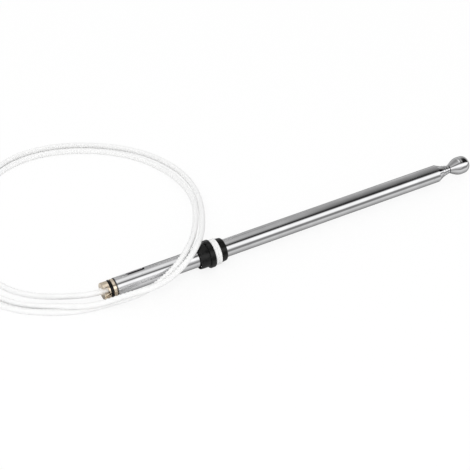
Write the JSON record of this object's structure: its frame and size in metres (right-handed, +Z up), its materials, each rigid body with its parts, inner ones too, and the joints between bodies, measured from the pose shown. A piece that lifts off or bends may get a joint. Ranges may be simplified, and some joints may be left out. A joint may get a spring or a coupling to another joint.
{
  "type": "telescopic antenna mast",
  "caption": "Telescopic antenna mast of sliding chromed tubes with a domed head, a sliding rubber seal and a toothed plastic drive cable out of its base.",
  "frame": {"origin": "on the floor, under the middle of the collapsed mast", "axes": "+X along the mast towards its head, +Z up, +Y towards the cable's loop"},
  "size_m": [0.2903, 0.1462, 0.0175],
  "materials": {
    "chromed_tube": "bright chrome plate",
    "spring_steel": "satin spring steel",
    "brass": "pale turned brass",
    "black_rubber": "matt moulded rubber",
    "white_nylon": "white moulded nylon"
  },
  "bodies": {
    "mast": {"outer_tube": "chromed_tube", "contact_leaf": "spring_steel", "base_fitting": "brass", "base_o_ring": "black_rubber", "drive_cable": "white_nylon"},
    "section_2": {"section_2_tube": "chromed_tube", "section_2_foot_bush": "white_nylon", "section_2_contact_sleeve": "brass"},
    "section_3": {"section_3_tube": "chromed_tube", "section_3_guide_sleeve": "brass"},
    "section_4": {"section_4_tube": "chromed_tube", "section_4_guide_sleeve": "brass"},
    "tip": {"tip_rod": "chromed_tube", "tip_rod_guide_sleeve": "brass", "cable_ferrule": "brass", "tip_head": "chromed_tube"},
    "seal": {"seal_grommet": "black_rubber", "seal_bush": "white_nylon", "seal_cap": "black_rubber"}
  },
  "joints": [
    {"name": "section_2_slide", "type": "slide", "parent": "mast", "child": "section_2", "axis": [1, 0, 0], "range_m": [0, 0.167]},
    {"name": "section_3_slide", "type": "slide", "parent": "section_2", "child": "section_3", "axis": [1, 0, 0], "range_m": [0, 0.174]},
    {"name": "section_4_slide", "type": "slide", "parent": "section_3", "child": "section_4", "axis": [1, 0, 0], "range_m": [0, 0.1749]},
    {"name": "tip_slide", "type": "slide", "parent": "section_4", "child": "tip", "axis": [1, 0, 0], "range_m": [0, 0.1756]},
    {"name": "seal_slide", "type": "slide", "parent": "mast", "child": "seal", "axis": [1, 0, 0], "range_m": [0, 0.135]}
  ]
}
